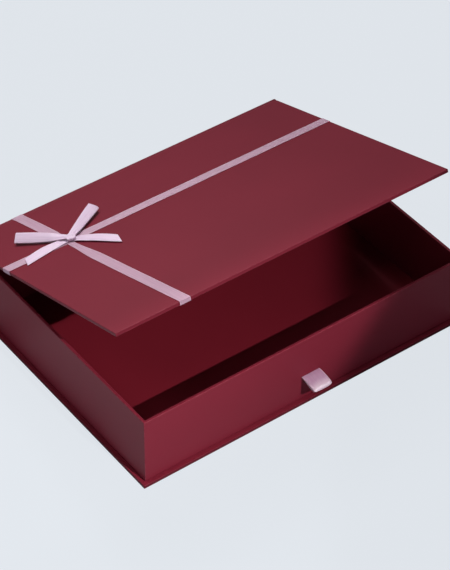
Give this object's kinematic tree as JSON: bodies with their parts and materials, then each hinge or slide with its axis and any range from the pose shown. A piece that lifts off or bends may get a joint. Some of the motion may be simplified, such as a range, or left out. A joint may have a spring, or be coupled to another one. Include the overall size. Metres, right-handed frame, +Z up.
{
  "type": "book-style gift box with a sliding drawer",
  "caption": "Rigid book-style gift box: a hinged paper-wrapped cover with a ribbon cross and bow, and an open drawer that slides out by a ribbon tab.",
  "frame": {"origin": "centre of the base's flat underside", "axes": "+X along the front to the right, -Y the front, where the pull tab is, +Z up; the cover leans back at rest"},
  "size_m": [0.3308, 0.2798, 0.1442],
  "materials": {
    "wrap_paper": "satin",
    "lining_paper": "satin",
    "greyboard": "matte",
    "stay_tape": "matte",
    "bow_ribbon": "satin",
    "band_ribbon": "satin"
  },
  "bodies": {
    "base": {"base_board": "greyboard", "base_wrap": "wrap_paper", "base_lining": "lining_paper"},
    "spine": {"spine_board": "greyboard", "spine_wrap": "wrap_paper", "spine_lining": "lining_paper", "band_end": "band_ribbon"},
    "lid": {"lid_board": "greyboard", "lid_wrap": "wrap_paper", "lid_lining": "lining_paper", "long_band": "band_ribbon", "short_band": "band_ribbon", "bow_loop_right": "bow_ribbon", "bow_loop_left": "bow_ribbon", "bow_tail_right": "bow_ribbon", "bow_tail_left": "bow_ribbon", "bow_knot": "bow_ribbon"},
    "drawer": {"drawer_floor_board": "greyboard", "drawer_left_board": "greyboard", "drawer_right_board": "greyboard", "drawer_back_board": "greyboard", "drawer_front_board": "greyboard", "drawer_wrap": "wrap_paper", "drawer_floor_lining": "lining_paper", "corner_stay_front_left": "stay_tape", "corner_stay_front_right": "stay_tape", "corner_stay_back_left": "stay_tape", "corner_stay_back_right": "stay_tape", "pull_tab": "bow_ribbon"}
  },
  "joints": [
    {"name": "spine_fold", "type": "hinge", "parent": "base", "child": "spine", "pos_m": [0, 0.122, 0], "axis": [-1, 0, 0], "range_deg": [-17.7, 68.5]},
    {"name": "lid_fold", "type": "hinge", "parent": "spine", "child": "lid", "pos_m": [0, 0.14419, 0.06954], "axis": [-1, 0, 0], "range_deg": [0, 90]},
    {"name": "drawer_slide", "type": "slide", "parent": "base", "child": "drawer", "axis": [0, -1, 0], "range_m": [0, 0.18]}
  ]
}
